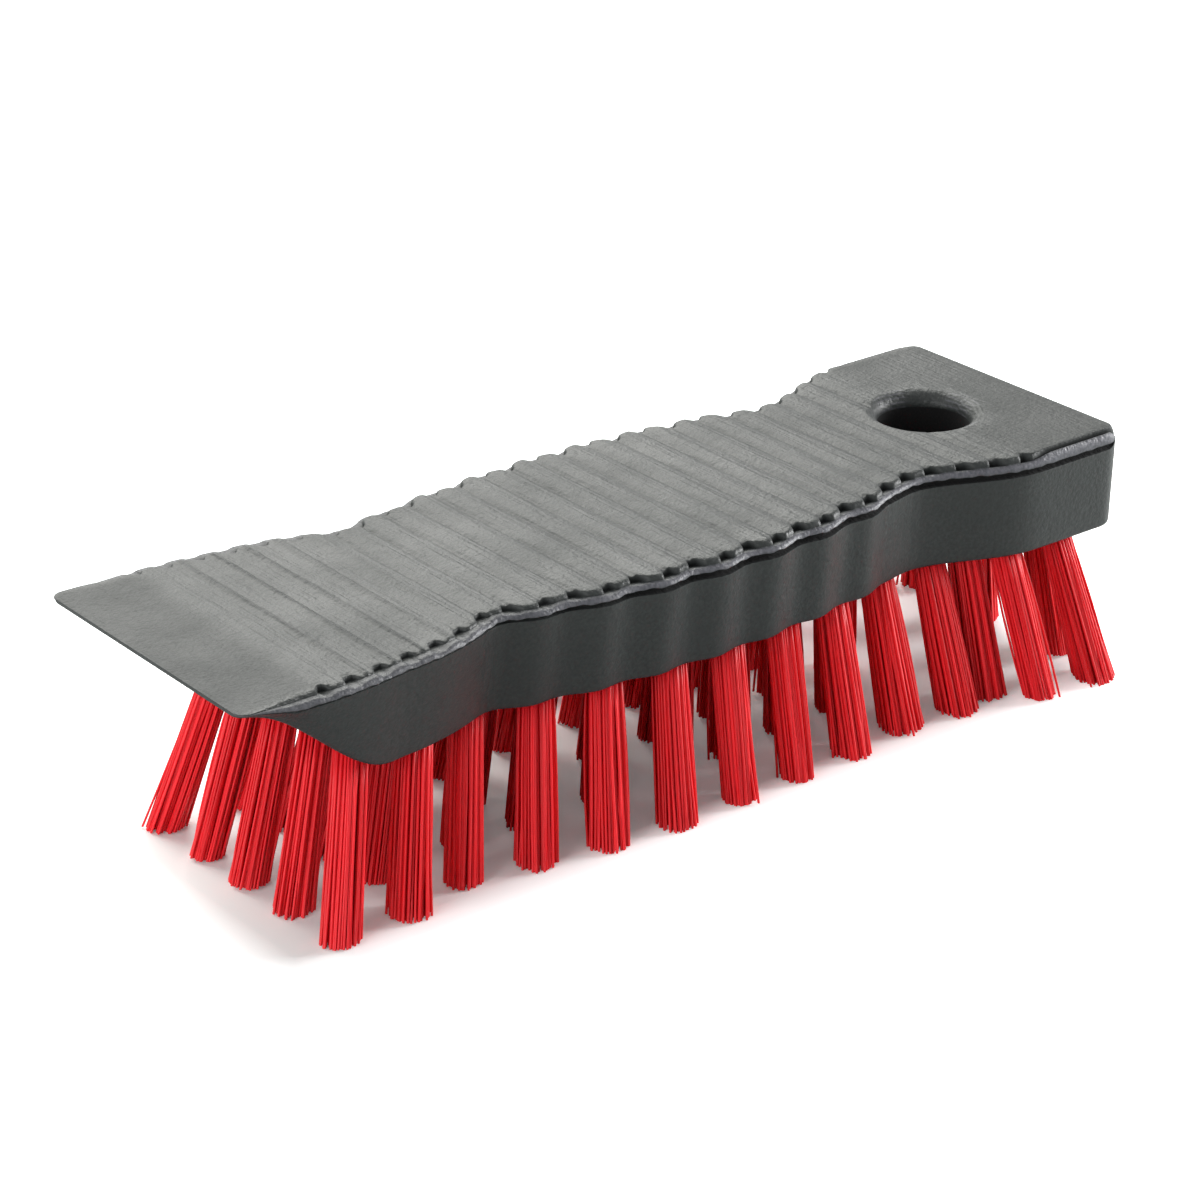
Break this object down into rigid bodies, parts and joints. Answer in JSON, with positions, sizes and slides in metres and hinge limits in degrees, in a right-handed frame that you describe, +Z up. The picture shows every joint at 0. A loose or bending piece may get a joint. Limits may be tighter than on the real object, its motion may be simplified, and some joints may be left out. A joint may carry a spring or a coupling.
{
  "type": "scrub brush",
  "caption": "Hand scrub brush: ribbed, waisted plastic block with a thin scraper nose and a hang hole, fanned red bristle tufts set in blind holes below.",
  "frame": {"origin": "centre of the footprint, on the floor plane that the bristle tips stand on", "axes": "+X along the brush from the scraper nose to the hang hole end, +Y across it, +Z up from the bristle tips to the ribbed top"},
  "size_m": [0.225, 0.0832, 0.0555],
  "materials": {
    "block_plastic": "dark grey moulded plastic with a fine spark-eroded grain",
    "red_bristle": "bright red plastic filament, satin"
  },
  "bodies": {
    "root": {"block": "block_plastic", "tuft_1_01": "red_bristle", "tuft_1_02": "red_bristle", "tuft_1_03": "red_bristle", "tuft_1_04": "red_bristle", "tuft_1_05": "red_bristle", "tuft_1_06": "red_bristle", "tuft_1_07": "red_bristle", "tuft_1_08": "red_bristle", "tuft_1_09": "red_bristle", "tuft_1_10": "red_bristle", "tuft_1_11": "red_bristle", "tuft_1_12": "red_bristle", "tuft_1_13": "red_bristle", "tuft_2_01": "red_bristle", "tuft_2_02": "red_bristle", "tuft_2_03": "red_bristle", "tuft_2_04": "red_bristle", "tuft_2_05": "red_bristle", "tuft_2_06": "red_bristle", "tuft_2_07": "red_bristle", "tuft_2_08": "red_bristle", "tuft_2_09": "red_bristle", "tuft_2_10": "red_bristle", "tuft_2_11": "red_bristle", "tuft_3_01": "red_bristle", "tuft_3_02": "red_bristle", "tuft_3_03": "red_bristle", "tuft_3_04": "red_bristle", "tuft_3_05": "red_bristle", "tuft_3_06": "red_bristle", "tuft_3_07": "red_bristle", "tuft_3_08": "red_bristle", "tuft_3_09": "red_bristle", "tuft_3_10": "red_bristle", "tuft_3_11": "red_bristle", "tuft_4_01": "red_bristle", "tuft_4_02": "red_bristle", "tuft_4_03": "red_bristle", "tuft_4_04": "red_bristle", "tuft_4_05": "red_bristle", "tuft_4_06": "red_bristle", "tuft_4_07": "red_bristle", "tuft_4_08": "red_bristle", "tuft_4_09": "red_bristle", "tuft_4_10": "red_bristle", "tuft_4_11": "red_bristle", "tuft_5_01": "red_bristle", "tuft_5_02": "red_bristle", "tuft_5_03": "red_bristle", "tuft_5_04": "red_bristle", "tuft_5_05": "red_bristle", "tuft_5_06": "red_bristle", "tuft_5_07": "red_bristle", "tuft_5_08": "red_bristle", "tuft_5_09": "red_bristle", "tuft_5_10": "red_bristle", "tuft_5_11": "red_bristle", "tuft_5_12": "red_bristle", "tuft_5_13": "red_bristle"}
  },
  "joints": []
}
